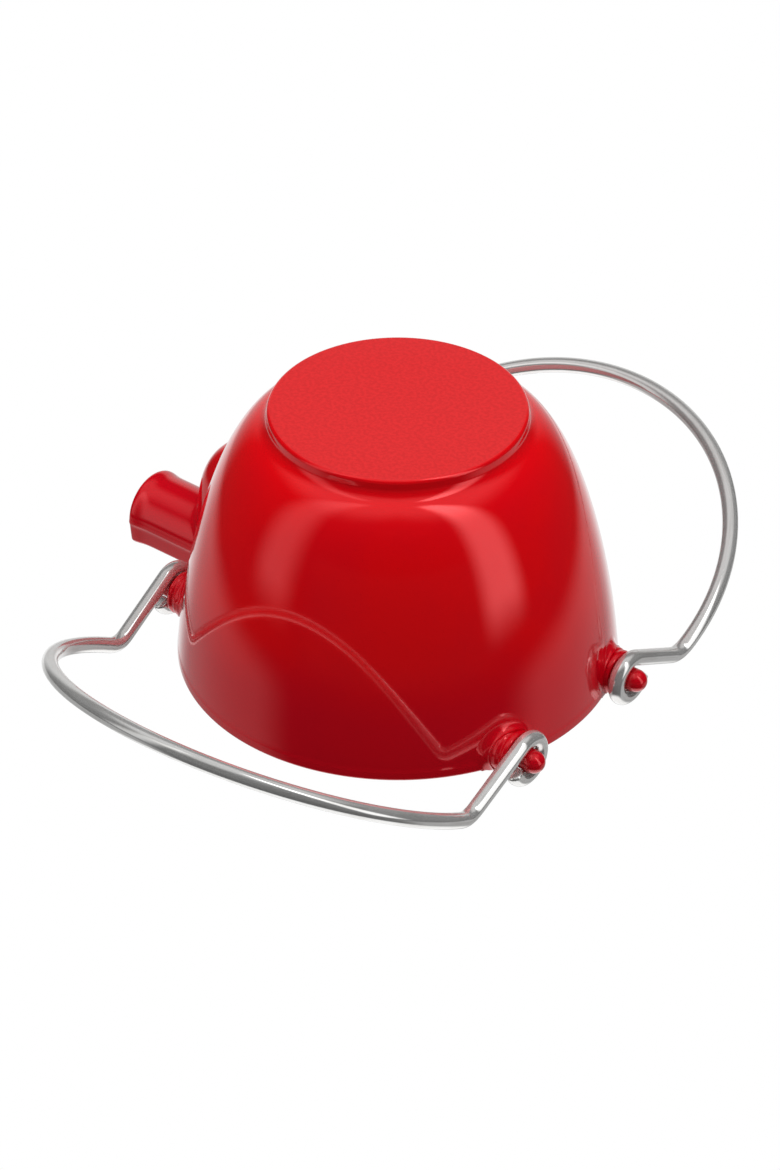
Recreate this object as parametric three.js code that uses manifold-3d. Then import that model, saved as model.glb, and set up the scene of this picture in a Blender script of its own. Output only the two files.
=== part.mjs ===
// A round cast-iron kettle with two wire handles, upright on its foot.
// Millimetres, +Z up. The origin is the centre of the flat face that the kettle stands on,
// the spout points along +X, and both handles hinge on axes parallel to X.

import * as THREE from 'three';
import { mergeVertices } from 'three/addons/utils/BufferGeometryUtils.js';
import Module from 'manifold-3d';

const wasm = await Module();
wasm.setup();

// ---------------------------------------------------------------- driving dimensions

const BODY_HEIGHT = 104;
const RIM_RADIUS = 80;
const FOOT_RADIUS = 46.2;
const FOOT_TOP_Z = 6.35;
const FOOT_CHAMFER = 1.2;
const BELLY_START_RADIUS = 44.6;
const BELLY_START_Z = 6.2;
const BELLY_POWER = 1.36;
const WALL_THICKNESS = 3.8;
const FLOOR_LIFT = 2.5;

const RIM_ROUND = 0.9;
const SEAT_RADIUS = 75.6;
const SEAT_DEPTH = 4;
const THROAT_RADIUS = 71.5;
const THROAT_DEPTH = 7;
const THROAT_SLOPE_DEPTH = 13;

const SPOUT_TIP_X = 118;
const SPOUT_HALF_WIDTH = 13.5;
const SPOUT_AXIS_Z = 92.7;
const SPOUT_FLAT_Z = 101.8;
const SPOUT_DRAFT = 1;
const SPOUT_WALL = 3;

const HOUSING_CENTRE = [62, 0, 80];
const HOUSING_RADII = [29, 17.5, 37];
const HOUSING_WALL = 4.2;

const HINGE_Y = 30.2;
const HINGE_Z = 97.8;
const LUG_ROOT_X = 62;
const LUG_FACE_X = 78;
const LUG_ROOT_RADIUS = 10.2;
const LUG_RADIUS = 8.2;
const LUG_COLLAR_X = 74.6;
const LUG_GROOVE = 0.5;
const PEG_RADIUS = 4.2;
const PEG_ROUND_X = 84.9;

const WIRE_DIAMETER = 5.9;
const LOOP_X = 81.8;
const LOOP_RADIUS = 7.6;
const LOOP_WRAP = 280;
const LEG_LENGTH = 32;
const LEG_TO_BOW = 57.7;
const BOW_RADIUS = 81.5;
const BOW_CENTRE = 11.4;
const KNEE_TANGENT = 5;
const FRONT_LEG_ANGLE = 27.1;
const REAR_LEG_ANGLE = 29;

const LID_RADIUS = 75.2;
const LID_EDGE_THICKNESS = 4;
const LID_RISE = 6;
const LID_DOME_THICKNESS = 4;
const LID_PAD_RADIUS = 13;
const LID_RING_OUTER = 69.5;
const LID_RING_INNER = 66.5;
const LID_RING_DEPTH = 5;
const LID_HOLE_RADIUS = 3;

const KNOB_HEIGHT = 25;
const KNOB_RADIUS = 15;
const KNOB_FOOT_RADIUS = 11;
const KNOB_NECK_RADIUS = 6.5;
const SCREW_RADIUS = 2.5;
const SCREW_HEAD_RADIUS = 5;
const SCREW_HEAD_HEIGHT = 3;
const SCREW_IN_KNOB = 12;
const WASHER_RADIUS = 8;
const WASHER_THICKNESS = 1.2;

const GAP = 0.3;

const AROUND_BODY = 48;
const AROUND_KNOB = 24;
const AROUND_SMALL = 16;
const AROUND_EGG = 28;
const BELLY_STEPS = 13;
const SPOUT_ARC_STEPS = 12;
const LOOP_STEPS = 13;
const KNEE_STEPS = 4;
const BOW_STEPS = 30;
const WIRE_SIDES = 10;

// ---------------------------------------------------------------- finishes

const enamel = new THREE.MeshStandardMaterial({ color: 0xc4121a, roughness: 0.15, metalness: 0 });
const polishedWire = new THREE.MeshStandardMaterial({ color: 0xc8c8c6, roughness: 0.12, metalness: 1 });
const turnedSteel = new THREE.MeshStandardMaterial({ color: 0xbdbcb8, roughness: 0.2, metalness: 1 });

// ---------------------------------------------------------------- helpers

const point = (x, y) => new THREE.Vector2(x, y);
const radians = THREE.MathUtils.degToRad;

// A body of revolution about Z from [radius, height] pairs that start and end on the axis.
function turned(profile, segments) {
  const geometry = new THREE.LatheGeometry(profile.map(([r, z]) => point(r, z)), segments);
  geometry.rotateX(Math.PI / 2);
  return geometry;
}

// The same about X, growing towards +X or, with side -1, towards -X.
function turnedAlongX(profile, segments, side) {
  const geometry = new THREE.LatheGeometry(profile.map(([r, x]) => point(r, x)), segments);
  geometry.rotateZ(-side * Math.PI / 2);
  return geometry;
}

// A closed geometry as a solid that can be joined and cut.
function solid(geometry) {
  const bare = geometry.index ? geometry.toNonIndexed() : geometry.clone();
  bare.deleteAttribute('normal');
  bare.deleteAttribute('uv');
  const merged = mergeVertices(bare, 1e-4);
  const index = merged.index.array;
  const corners = [];
  for (let i = 0; i < index.length; i += 3) {
    const [a, b, c] = [index[i], index[i + 1], index[i + 2]];
    if (a !== b && b !== c && c !== a) corners.push(a, b, c);
  }
  return new wasm.Manifold(new wasm.Mesh({
    numProp: 3,
    vertProperties: Float32Array.from(merged.attributes.position.array),
    triVerts: Uint32Array.from(corners),
  }));
}

// A solid back to a geometry.
function geometryOf(manifold) {
  const mesh = manifold.getMesh();
  const geometry = new THREE.BufferGeometry();
  geometry.setAttribute('position', new THREE.BufferAttribute(mesh.vertProperties, 3));
  geometry.setIndex(new THREE.BufferAttribute(mesh.triVerts, 1));
  geometry.computeVertexNormals();
  return geometry;
}

function named(name, geometry, material) {
  const mesh = new THREE.Mesh(geometry, material);
  mesh.name = name;
  return mesh;
}

// ---------------------------------------------------------------- kettle body

// The belly: a flat shoulder that leaves the foot level and turns up to a nearly upright rim.
// t runs from 0 just inside the foot to 1 at the rim, and steps closely where the curve turns fastest.
function bellyPoint(t) {
  const rise = t * t;
  const spread = Math.sqrt(1 - (1 - rise) ** BELLY_POWER);
  return [
    BELLY_START_RADIUS + (RIM_RADIUS - BELLY_START_RADIUS) * spread,
    BELLY_START_Z + (BODY_HEIGHT - BELLY_START_Z) * rise,
  ];
}

function bellyCurve(steps) {
  return Array.from({ length: steps + 1 }, (_, i) => bellyPoint(i / steps));
}

function outerBlank() {
  const rimStart = BODY_HEIGHT - 2 * RIM_ROUND;
  const belly = bellyCurve(BELLY_STEPS).filter(([r, z]) => r > FOOT_RADIUS && z < rimStart);
  return turned([
    [0, 0],
    [FOOT_RADIUS - FOOT_CHAMFER, 0],
    [FOOT_RADIUS, FOOT_CHAMFER],
    [FOOT_RADIUS, FOOT_TOP_Z],
    ...belly,
    [RIM_RADIUS, BODY_HEIGHT - RIM_ROUND],
    [RIM_RADIUS - RIM_ROUND, BODY_HEIGHT],
    [0, BODY_HEIGHT],
  ], AROUND_BODY);
}

// The inside is the belly curve moved in by the wall and up by the floor. Under the mouth
// it closes in to a throat, whose top is the seat that the lid rests on.
function cavity() {
  const wallTop = BODY_HEIGHT - THROAT_SLOPE_DEPTH;
  const wall = bellyCurve(BELLY_STEPS - 3)
    .map(([r, z]) => [r - WALL_THICKNESS, z + FLOOR_LIFT])
    .filter(([, z]) => z < wallTop);
  const top = BODY_HEIGHT + 1;
  return turned([
    [0, BELLY_START_Z + FLOOR_LIFT],
    ...wall,
    [THROAT_RADIUS, BODY_HEIGHT - THROAT_DEPTH],
    [THROAT_RADIUS, BODY_HEIGHT - SEAT_DEPTH],
    [SEAT_RADIUS, BODY_HEIGHT - SEAT_DEPTH],
    [SEAT_RADIUS, top],
    [0, top],
  ], AROUND_BODY);
}

// The spout's section: half round below, upright sides above with a little draft, flat on top.
// It is drawn in X and Y, pushed out along Z, then stood so that it runs along +X.
function spoutSolid(inset, fromX, toX) {
  const radius = SPOUT_HALF_WIDTH - inset;
  const flat = SPOUT_FLAT_Z - SPOUT_AXIS_Z - inset;
  const section = new THREE.Shape();
  section.absarc(0, 0, radius, Math.PI, 2 * Math.PI, false);
  section.lineTo(radius - SPOUT_DRAFT, flat);
  section.lineTo(-radius + SPOUT_DRAFT, flat);
  section.closePath();
  const geometry = new THREE.ExtrudeGeometry(section, {
    depth: toX - fromX,
    bevelEnabled: false,
    curveSegments: SPOUT_ARC_STEPS,
  });
  geometry.rotateX(Math.PI / 2);
  geometry.rotateZ(Math.PI / 2);
  geometry.translate(fromX, 0, SPOUT_AXIS_Z);
  return solid(geometry);
}

// The housing that the spout springs from: an egg pressed out of the belly, level on top.
function housingSolid(inset, top) {
  const [rx, ry, rz] = HOUSING_RADII.map((radius) => radius - inset);
  const [x, y, z] = HOUSING_CENTRE;
  const egg = new THREE.SphereGeometry(1, AROUND_EGG, AROUND_EGG / 2);
  egg.scale(rx, ry, rz);
  egg.translate(x, y, z);
  const cutterHeight = 60;
  const cutter = new THREE.BoxGeometry(4 * rx, 4 * ry, cutterHeight);
  cutter.translate(x, y, top + cutterHeight / 2);
  return solid(egg).subtract(solid(cutter));
}

// A lug: a flared boss with a collar, and the round-ended peg that a handle's loop hangs on.
function lugSolid(sideX, sideY) {
  const round = [30, 60].map((angle) => [
    PEG_RADIUS * Math.cos(radians(angle)),
    PEG_ROUND_X + PEG_RADIUS * Math.sin(radians(angle)),
  ]);
  const geometry = turnedAlongX([
    [0, LUG_ROOT_X],
    [LUG_ROOT_RADIUS, LUG_ROOT_X],
    [LUG_ROOT_RADIUS, LUG_COLLAR_X - 6],
    [LUG_RADIUS + LUG_GROOVE, LUG_COLLAR_X - 2.5],
    [LUG_RADIUS - LUG_GROOVE, LUG_COLLAR_X - 1],
    [LUG_RADIUS, LUG_COLLAR_X],
    [LUG_RADIUS, LUG_FACE_X - 1],
    [LUG_RADIUS - 1, LUG_FACE_X],
    [PEG_RADIUS, LUG_FACE_X],
    [PEG_RADIUS, PEG_ROUND_X],
    ...round,
    [0, PEG_ROUND_X + PEG_RADIUS],
  ], AROUND_SMALL, sideX);
  geometry.translate(0, sideY * HINGE_Y, HINGE_Z);
  return solid(geometry);
}

function kettleBody() {
  let body = solid(outerBlank());
  body = body.add(housingSolid(0, SPOUT_FLAT_Z));
  body = body.add(spoutSolid(0, RIM_RADIUS - 10, SPOUT_TIP_X));
  for (const sideX of [-1, 1]) {
    for (const sideY of [-1, 1]) {
      body = body.add(lugSolid(sideX, sideY));
    }
  }
  const overRim = new THREE.BoxGeometry(4 * RIM_RADIUS, 4 * RIM_RADIUS, 20);
  overRim.translate(0, 0, BODY_HEIGHT + 10);
  return body
    .subtract(solid(overRim))
    .subtract(solid(cavity()))
    .subtract(housingSolid(HOUSING_WALL, BODY_HEIGHT - THROAT_DEPTH))
    .subtract(spoutSolid(SPOUT_WALL, RIM_RADIUS - 12, SPOUT_TIP_X + 1));
}

// ---------------------------------------------------------------- wire handles

// A path through stations that are already where the section has to be placed.
class StationPath extends THREE.Curve {
  constructor(stations) {
    super();
    this.stations = stations;
  }

  getPoint(t, target = new THREE.Vector3()) {
    const place = THREE.MathUtils.clamp(t, 0, 1) * (this.stations.length - 1);
    const before = Math.min(Math.floor(place), this.stations.length - 2);
    return target.lerpVectors(this.stations[before], this.stations[before + 1], place - before);
  }

  getPointAt(t, target) {
    return this.getPoint(t, target);
  }

  getTangent(t, target = new THREE.Vector3()) {
    const half = 0.5 / (this.stations.length - 1);
    return target.subVectors(this.getPoint(t + half), this.getPoint(t - half)).normalize();
  }

  getTangentAt(t, target) {
    return this.getTangent(t, target);
  }
}

// One end of the handle on side +X or -X, from the wire's cut end to the start of the bow.
// The hinge is at the origin, the leg leaves along +Y and the loop curls back under it.
function handleEnd(side, knee, bowStart) {
  const stations = [];
  for (let i = 0; i <= LOOP_STEPS; i += 1) {
    const wrap = radians(LOOP_WRAP) * (1 - i / LOOP_STEPS);
    stations.push(new THREE.Vector3(
      side * LOOP_X,
      -LOOP_RADIUS * Math.sin(wrap),
      -LOOP_RADIUS * Math.cos(wrap),
    ));
  }
  const legStart = stations[stations.length - 1];
  const legDirection = knee.clone().sub(legStart).normalize();
  const kneeStart = knee.clone().addScaledVector(legDirection, -KNEE_TANGENT);
  const bend = new THREE.QuadraticBezierCurve3(kneeStart, knee, bowStart);
  return stations.concat(bend.getPoints(KNEE_STEPS));
}

// The bow lies in its own plane, tipped down from the legs: [x, distance from the knees].
function bowPoint(angle) {
  const along = BOW_CENTRE + BOW_RADIUS * Math.sin(angle);
  const tip = radians(LEG_TO_BOW);
  return new THREE.Vector3(
    BOW_RADIUS * Math.cos(angle),
    LEG_LENGTH + along * Math.cos(tip),
    -LOOP_RADIUS - along * Math.sin(tip),
  );
}

function handleGeometry() {
  const kneeAngle = -Math.asin(BOW_CENTRE / BOW_RADIUS);
  const firstAngle = kneeAngle + KNEE_TANGENT / BOW_RADIUS;
  const ends = [1, -1].map((side) => {
    const knee = bowPoint(kneeAngle);
    const start = bowPoint(firstAngle);
    knee.x *= side;
    start.x *= side;
    return handleEnd(side, knee, start);
  });
  const bow = [];
  for (let i = 1; i < BOW_STEPS; i += 1) {
    bow.push(bowPoint(firstAngle + (Math.PI - 2 * firstAngle) * i / BOW_STEPS));
  }
  const stations = [...ends[0], ...bow, ...ends[1].reverse()];
  const section = new THREE.Shape();
  for (let i = 0; i < WIRE_SIDES; i += 1) {
    const angle = 2 * Math.PI * i / WIRE_SIDES;
    const x = WIRE_DIAMETER / 2 * Math.cos(angle);
    const y = WIRE_DIAMETER / 2 * Math.sin(angle);
    if (i === 0) section.moveTo(x, y);
    else section.lineTo(x, y);
  }
  section.closePath();
  return new THREE.ExtrudeGeometry(section, {
    steps: stations.length - 1,
    bevelEnabled: false,
    extrudePath: new StationPath(stations),
  });
}

// Both handles are the same bent wire, one turned half round about Z.
function placedHandle(name, side, legAngle) {
  const swing = new THREE.Group();
  swing.rotation.x = radians(legAngle);
  swing.add(named(name, handleGeometry(), polishedWire));
  const hinge = new THREE.Group();
  hinge.position.set(0, side * HINGE_Y, HINGE_Z);
  hinge.rotation.z = side > 0 ? 0 : Math.PI;
  hinge.add(swing);
  return hinge;
}

// ---------------------------------------------------------------- lid and knob

const lidUnder = BODY_HEIGHT - SEAT_DEPTH + GAP;
const lidEdgeTop = lidUnder + LID_EDGE_THICKNESS;
const lidPadTop = lidEdgeTop + LID_RISE;
const padUnder = lidPadTop - LID_DOME_THICKNESS;

// The dome's height over the lid's edge: level at the pad, steepest at the edge.
function lidRise(radius) {
  const out = Math.max(0, (radius - LID_PAD_RADIUS) / (LID_RADIUS - LID_PAD_RADIUS));
  return LID_RISE * (1 - out ** 2);
}

function lidGeometry() {
  const domeRadii = [LID_PAD_RADIUS, 28, 44, 60];
  const top = domeRadii.map((r) => [r, lidEdgeTop + lidRise(r)]).reverse();
  const under = domeRadii.map((r) => [r, lidEdgeTop + lidRise(r) - LID_DOME_THICKNESS]);
  return geometryOf(solid(turned([
    [0, padUnder],
    ...under,
    [LID_RING_INNER, lidUnder],
    [LID_RING_INNER, lidUnder - LID_RING_DEPTH],
    [LID_RING_OUTER, lidUnder - LID_RING_DEPTH],
    [LID_RING_OUTER, lidUnder],
    [LID_RADIUS - 0.8, lidUnder],
    [LID_RADIUS, lidUnder + 0.8],
    [LID_RADIUS, lidEdgeTop - 1.5],
    [LID_RADIUS - 1.5, lidEdgeTop],
    ...top,
    [0, lidPadTop],
  ], AROUND_BODY)).subtract(solid(turned([
    [0, padUnder - 1],
    [LID_HOLE_RADIUS, padUnder - 1],
    [LID_HOLE_RADIUS, lidPadTop + 1],
    [0, lidPadTop + 1],
  ], AROUND_SMALL))));
}

function knobGeometry() {
  const foot = lidPadTop + GAP;
  const top = foot + KNOB_HEIGHT;
  const outside = turned([
    [0, foot],
    [KNOB_FOOT_RADIUS, foot],
    [KNOB_FOOT_RADIUS, foot + 1.5],
    [KNOB_NECK_RADIUS + 1.5, foot + 4],
    [KNOB_NECK_RADIUS, foot + 8],
    [KNOB_NECK_RADIUS + 1.5, foot + 12],
    [KNOB_RADIUS - 1.5, foot + 15.5],
    [KNOB_RADIUS, foot + 18],
    [KNOB_RADIUS - 1, foot + 21],
    [KNOB_RADIUS - 4, foot + 23.6],
    [KNOB_RADIUS - 8, top - 0.3],
    [0, top],
  ], AROUND_KNOB);
  const hole = turned([
    [0, foot - 1],
    [SCREW_RADIUS + GAP, foot - 1],
    [SCREW_RADIUS + GAP, foot + SCREW_IN_KNOB + GAP],
    [0, foot + SCREW_IN_KNOB + GAP],
  ], AROUND_SMALL);
  return geometryOf(solid(outside).subtract(solid(hole)));
}

const washerTop = padUnder - GAP;
const washerUnder = washerTop - WASHER_THICKNESS;

function washerGeometry() {
  const hole = SCREW_RADIUS + GAP;
  return turned([
    [hole, washerUnder],
    [WASHER_RADIUS, washerUnder],
    [WASHER_RADIUS, washerTop],
    [hole, washerTop],
    [hole, washerUnder],
  ], AROUND_SMALL);
}

function screwGeometry() {
  const headTop = washerUnder - GAP;
  const headUnder = headTop - SCREW_HEAD_HEIGHT;
  const body = turned([
    [0, headUnder],
    [SCREW_HEAD_RADIUS - 1.5, headUnder],
    [SCREW_HEAD_RADIUS, headUnder + 1.2],
    [SCREW_HEAD_RADIUS, headTop],
    [SCREW_RADIUS, headTop],
    [SCREW_RADIUS, lidPadTop + GAP + SCREW_IN_KNOB - 1],
    [SCREW_RADIUS - 1, lidPadTop + GAP + SCREW_IN_KNOB],
    [0, lidPadTop + GAP + SCREW_IN_KNOB],
  ], AROUND_SMALL);
  const slot = new THREE.BoxGeometry(3 * SCREW_HEAD_RADIUS, 1.2, 2.4);
  slot.translate(0, 0, headUnder);
  return geometryOf(solid(body).subtract(solid(slot)));
}

// ---------------------------------------------------------------- the kettle

const group = new THREE.Group();
group.add(named('kettle_body', geometryOf(kettleBody()), enamel));
group.add(placedHandle('front_handle', -1, FRONT_LEG_ANGLE));
group.add(placedHandle('rear_handle', 1, REAR_LEG_ANGLE));
group.add(named('lid', lidGeometry(), enamel));
group.add(named('lid_knob', knobGeometry(), turnedSteel));
group.add(named('knob_washer', washerGeometry(), turnedSteel));
group.add(named('knob_screw', screwGeometry(), turnedSteel));

export default group;
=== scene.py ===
# %% [markdown]
# # A two-handled kettle in enamelled iron
#
# The kettle is one iron casting with a belly, a stub spout and four lugs, coated inside and
# out in red glass enamel. Two bent wires hang on the lugs' pegs, and a lid with a turned knob
# closes the mouth. The design model already fixes every size and every joint. This lesson
# builds the surfaces that a maker would see: the true curves, the fillets where one form
# grows out of another, and the finish of the enamel and the metal.

import math

import bmesh
import bpy
import numpy as np
from mathutils import Matrix, Vector


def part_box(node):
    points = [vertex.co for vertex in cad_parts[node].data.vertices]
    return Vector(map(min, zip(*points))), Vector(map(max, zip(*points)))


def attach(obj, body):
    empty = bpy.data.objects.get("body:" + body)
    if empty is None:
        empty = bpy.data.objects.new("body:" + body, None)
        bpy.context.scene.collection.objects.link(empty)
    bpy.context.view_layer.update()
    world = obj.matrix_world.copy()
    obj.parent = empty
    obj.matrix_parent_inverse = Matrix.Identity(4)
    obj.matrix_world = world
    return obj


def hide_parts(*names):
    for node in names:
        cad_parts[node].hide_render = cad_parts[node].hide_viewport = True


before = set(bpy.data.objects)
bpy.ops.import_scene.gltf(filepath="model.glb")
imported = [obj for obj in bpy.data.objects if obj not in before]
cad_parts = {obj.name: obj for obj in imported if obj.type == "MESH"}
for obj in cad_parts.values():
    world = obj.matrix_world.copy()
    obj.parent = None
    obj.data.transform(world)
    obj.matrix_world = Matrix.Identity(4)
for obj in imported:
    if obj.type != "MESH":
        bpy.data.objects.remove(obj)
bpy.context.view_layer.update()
MM = 0.001

# %% [markdown]
# ## Where the camera stands
#
# The kettle is shown the way it is turned over to look at its foot, so the camera stands
# low, looks up at the foot, and is held upside down. A camera is placed by the direction it
# looks from and by which way is up in its picture. Building its matrix from those two vectors
# is plainer than chaining rotations, and it has no trouble with being upside down.

# %% Camera
RIM_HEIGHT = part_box("kettle_body")[1][2]
CAMERA_TURN = math.radians(-38.56)
CAMERA_BELOW = math.radians(36.55)
CAMERA_DISTANCE = 1.64
LOOK_AT = Vector((0.0022, -0.0017, 0.077))
PICTURE_UP = Vector((0, 0, -1))
FOCAL_LENGTH = 138.7
FILM_HEIGHT = 36

toward_camera = Vector((math.sin(CAMERA_TURN), -math.cos(CAMERA_TURN), 0))
camera_place = Vector((0, 0, RIM_HEIGHT)) + CAMERA_DISTANCE * (
    math.cos(CAMERA_BELOW) * toward_camera - math.sin(CAMERA_BELOW) * Vector((0, 0, 1))
)
back = (camera_place - LOOK_AT).normalized()
right = PICTURE_UP.cross(back).normalized()
up = back.cross(right)

camera = bpy.data.objects.new("camera", bpy.data.cameras.new("camera"))
bpy.context.scene.collection.objects.link(camera)
camera.matrix_world = Matrix.Translation(camera_place) @ Matrix((right, up, back)).transposed().to_4x4()
camera.data.sensor_fit = "VERTICAL"
camera.data.sensor_height = FILM_HEIGHT
camera.data.lens = FOCAL_LENGTH
bpy.context.scene.camera = camera
bpy.context.scene.view_settings.view_transform = "Standard"
print("camera at, mm:", [round(c / MM) for c in camera_place])

# %% [markdown]
# ## Sums on sockets
#
# Materials, the light and the shapes below are all worked out by nodes. Wiring Math nodes by
# hand hides the formula, so a small class wraps a socket and lets Python's own operators add
# the nodes. `1 - mask` then reads as it would on paper. Every other node comes from `node`.

# %% A socket that can be used in sums
class Value:
    """A node's output that takes part in sums. Math nodes are the same in every kind of tree."""

    def __init__(self, tree, socket):
        self.tree = tree
        self.socket = socket

    def math(self, operation, *others):
        values = dict(enumerate((self, *others)))
        return node(self.tree, "ShaderNodeMath", {"operation": operation}, values)

    def __add__(self, other):
        return self.math("ADD", other)

    def __sub__(self, other):
        return self.math("SUBTRACT", other)

    def __rsub__(self, other):
        return (self * -1).math("ADD", other)

    def __mul__(self, other):
        return self.math("MULTIPLY", other)

    def __truediv__(self, other):
        return self.math("DIVIDE", other)

    __radd__ = __add__
    __rmul__ = __mul__

    def window(self, low, high, soft):
        """1 between low and high, 0 outside, with soft edges."""
        return self.step(low - soft, low + soft) * (1 - self.step(high - soft, high + soft))

    def step(self, low, high):
        """0 below low, 1 above high, and smooth between."""
        settings = {"interpolation_type": "SMOOTHSTEP"}
        return node(self.tree, "ShaderNodeMapRange", settings, {0: self, 1: low, 2: high})


def node(tree, kind, settings=None, values=None, output=0):
    """A new node: its settings first, then its sockets' values or links."""
    made = tree.nodes.new(kind)
    for name, setting in (settings or {}).items():
        setattr(made, name, setting)
    for key, value in (values or {}).items():
        if isinstance(value, Value):
            tree.links.new(value.socket, made.inputs[key])
        else:
            made.inputs[key].default_value = value
    return Value(tree, made.outputs[output]) if made.outputs else made


def output_of(value, name):
    """Another output of the node that a value comes from."""
    return Value(value.tree, value.socket.node.outputs[name])


print("sums on sockets: ready")

# %% [markdown]
# ## Light and floor
#
# Glossy enamel looks like whatever stands round it, so the light is drawn as a room: a tall
# soft box on each side of the camera, a wide one over the foot, one over the lid, a pale wall
# behind and a pale table. In front there is only a faint panel, which keeps the red deep. A
# painted room costs nothing to trace, and each soft box's edge can be as soft as it likes.
#
# The angles are taken from the camera's side: turn is to the right in its picture, and rise
# is towards the foot. Each box has a range of them, in degrees. The camera itself sees
# plain white.

# %% The room
STRONG_SIDE = 1.25
WEAK_SIDE = 0.6
OVER_FOOT = 0.45
OVER_LID = 1.2
BACK_WALL = 0.5
TABLE = 0.34
FRONT = 0.02
GLOOM = 0.035

STRONG_TURN = (48, 70, 6)
WEAK_TURN = (-83, -62, 8)
SIDE_RISE = (-9, 75, 5)
STRONG_GROWS = (25, 65)
FOOT_BOX_RISE = (45, 72)
FOOT_BOX_DROOP = 0.25
FOOT_WIDEST = 50
LID_BOX_RISE = (-62, -46)
BACK_TURN = (120, 160)
BACK_RISE = (50, 75)
WALL_TURN = (135, 165)
WALL_RISE = (-45, 24, 8)
TABLE_TURN = (52, 78)
TABLE_RISE = (-50, -19, 3)
FRONT_TURN = (40, 60)
FRONT_RISE = (-15, 10, 2)
LEAN = 0.16

world = bpy.data.worlds.new("studio")
world.use_nodes = True
bpy.context.scene.world = world
room = world.node_tree
room.nodes.clear()
way = node(room, "ShaderNodeTexCoord")


def along(direction):
    """How far the direction looked in goes along a fixed one."""
    settings = {"operation": "DOT_PRODUCT"}
    return output_of(node(room, "ShaderNodeVectorMath", settings, {0: way, 1: tuple(direction)}), "Value")


picture_right = Vector((0, 0, -1)).cross(toward_camera)
turn = along(picture_right).math("ARCTAN2", along(toward_camera)) * math.degrees(1)
rise = along(PICTURE_UP).math("ARCSINE") * math.degrees(1)
aside = turn.math("ABSOLUTE")
lean = LEAN * rise

strong_box = (turn + lean).window(*STRONG_TURN) * rise.window(*SIDE_RISE) * (1 + rise.step(*STRONG_GROWS))
weak_box = (turn - lean).window(*WEAK_TURN) * rise.window(*SIDE_RISE)
low_behind = aside.step(*BACK_TURN) * (1 - rise.step(*BACK_RISE))
drooped = rise + FOOT_BOX_DROOP * aside.math("MINIMUM", FOOT_WIDEST)
foot_box = drooped.step(*FOOT_BOX_RISE) * (1 - low_behind)
lid_box = 1 - rise.step(*LID_BOX_RISE)
wall = aside.step(*WALL_TURN) * rise.window(*WALL_RISE)
table = aside.step(*TABLE_TURN) * rise.window(*TABLE_RISE)
front = (1 - aside.step(*FRONT_TURN)) * rise.window(*FRONT_RISE)

light = (
    STRONG_SIDE * strong_box
    + WEAK_SIDE * weak_box
    + OVER_FOOT * foot_box
    + OVER_LID * lid_box
    + BACK_WALL * wall
    + TABLE * table
    + FRONT * front
    + GLOOM
)
seen = output_of(node(room, "ShaderNodeLightPath"), "Is Camera Ray")
strength = light * (1 - seen) + seen
lit = node(room, "ShaderNodeBackground", None, {"Color": (1, 1, 1, 1), "Strength": strength})
node(room, "ShaderNodeOutputWorld", None, {"Surface": lit})
print("the room:", len(room.nodes), "nodes")

# %% [markdown]
# Reflections are only half of the light. Most of the red comes from a wide soft lamp close over
# the foot, so the pot grows darker towards its rim, which is further away. One more hangs
# over the lid, and a small one on each side keeps the flanks bright. All four are hidden from
# glossy rays, so that they leave no disc in the enamel.

# %% Soft fill
FILL_FROM_FOOT = 4.3
FILL_FROM_LID = 3.7
FILL_FROM_SIDE = 0.75
FILL_WIDTH = 1.1
FILL_DISTANCE = 0.36
FILL_FORWARD = 0.03


def fill(name, place, watts, width):
    """A wide round lamp that lights the kettle without being reflected."""
    lamp = bpy.data.lights.new(name, "AREA")
    lamp.shape = "DISK"
    lamp.size = width
    lamp.energy = watts
    hung = bpy.data.objects.new(name, lamp)
    bpy.context.scene.collection.objects.link(hung)
    hung.matrix_world = Matrix.Translation(place) @ place.to_track_quat("Z", "Y").to_matrix().to_4x4()
    hung.visible_glossy = False
    hung.visible_camera = False


over_foot = FILL_DISTANCE * PICTURE_UP + FILL_FORWARD * toward_camera
over_lid = -3 * FILL_DISTANCE * PICTURE_UP
at_right = 1.6 * FILL_DISTANCE * picture_right
fill("fill_from_foot", over_foot, FILL_FROM_FOOT, FILL_WIDTH)
fill("fill_from_lid", over_lid, FILL_FROM_LID, FILL_WIDTH)
fill("fill_from_left", -at_right, FILL_FROM_SIDE, FILL_WIDTH / 2)
fill("fill_from_right", at_right, FILL_FROM_SIDE, FILL_WIDTH / 2)
print("fill:", FILL_FROM_FOOT, "W,", FILL_FROM_LID, "W and twice", FILL_FROM_SIDE, "W")

# %% [markdown]
# The floor only has to catch a soft shadow in the views from above. Its face is turned up and
# its back is see-through, so a camera that looks up from below sees the kettle's foot. It
# glows a little, which keeps the red that the kettle throws on it faint.

# %% The floor
FLOOR_DROP = 0.4 * MM
FLOOR_HALF = 3.0
FLOOR_PALE = 0.50
FLOOR_GLOW = 0.40

corners = [(-1, -1), (1, -1), (1, 1), (-1, 1)]
floor_mesh = bpy.data.meshes.new("floor")
floor_points = [(FLOOR_HALF * x, FLOOR_HALF * y, -FLOOR_DROP) for x, y in corners]
floor_mesh.from_pydata(floor_points, [], [(0, 1, 2, 3)])
floor = bpy.data.objects.new("floor", floor_mesh)
bpy.context.scene.collection.objects.link(floor)
for ray in ("diffuse", "glossy", "transmission", "volume_scatter", "shadow"):
    setattr(floor, f"visible_{ray}", False)

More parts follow.
